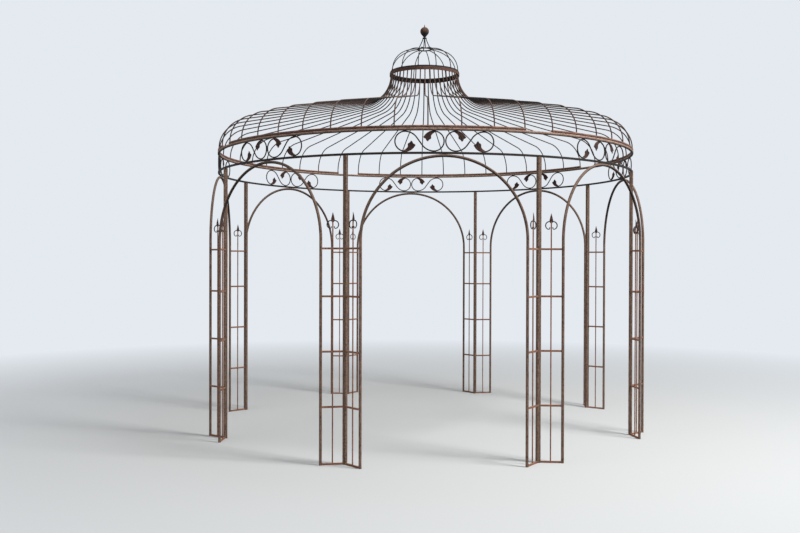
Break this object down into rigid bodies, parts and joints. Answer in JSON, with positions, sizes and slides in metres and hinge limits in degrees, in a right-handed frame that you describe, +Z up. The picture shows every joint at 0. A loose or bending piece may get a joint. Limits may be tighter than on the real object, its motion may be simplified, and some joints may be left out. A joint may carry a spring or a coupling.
{
  "type": "round iron garden pavilion",
  "caption": "Round open-frame iron garden pavilion with arched bays, trellis piers, a scrolled frieze, a rodded roof and a small ribbed dome with a ball finial.",
  "frame": {"origin": "centre of the pavilion at ground level, where its vertical axis meets the ground", "axes": "+Z up along the axis of symmetry, -Y out through the middle of bay 1"},
  "size_m": [3.722, 3.722, 3.6465],
  "materials": {
    "arch_iron": "rusted iron tube, dark brown with orange rust",
    "pier_iron": "rusted iron tube and bar, dark brown with orange rust",
    "ring_iron": "rusted iron bar, red brown",
    "roof_iron": "thin rusted iron rods, near black to brown",
    "scroll_iron": "bent iron bar with red brown pressed leaves",
    "finial_iron": "rusted iron ball and flared rods"
  },
  "bodies": {
    "root": {"arch_1": "arch_iron", "arch_2": "arch_iron", "arch_3": "arch_iron", "arch_4": "arch_iron", "arch_5": "arch_iron", "arch_6": "arch_iron", "arch_7": "arch_iron", "arch_8": "arch_iron", "pier_1": "pier_iron", "pier_2": "pier_iron", "pier_3": "pier_iron", "pier_4": "pier_iron", "pier_5": "pier_iron", "pier_6": "pier_iron", "pier_7": "pier_iron", "pier_8": "pier_iron", "frieze_1": "scroll_iron", "frieze_2": "scroll_iron", "frieze_3": "scroll_iron", "frieze_4": "scroll_iron", "frieze_5": "scroll_iron", "frieze_6": "scroll_iron", "frieze_7": "scroll_iron", "frieze_8": "scroll_iron", "roof_panel_1": "roof_iron", "roof_panel_2": "roof_iron", "roof_panel_3": "roof_iron", "roof_panel_4": "roof_iron", "roof_panel_5": "roof_iron", "roof_panel_6": "roof_iron", "roof_panel_7": "roof_iron", "roof_panel_8": "roof_iron", "lower_ring": "ring_iron", "upper_ring": "ring_iron", "collar_band": "ring_iron", "dome_ring": "ring_iron", "dome_cage": "roof_iron", "finial_stem": "finial_iron", "finial_ball": "finial_iron"}
  },
  "joints": []
}
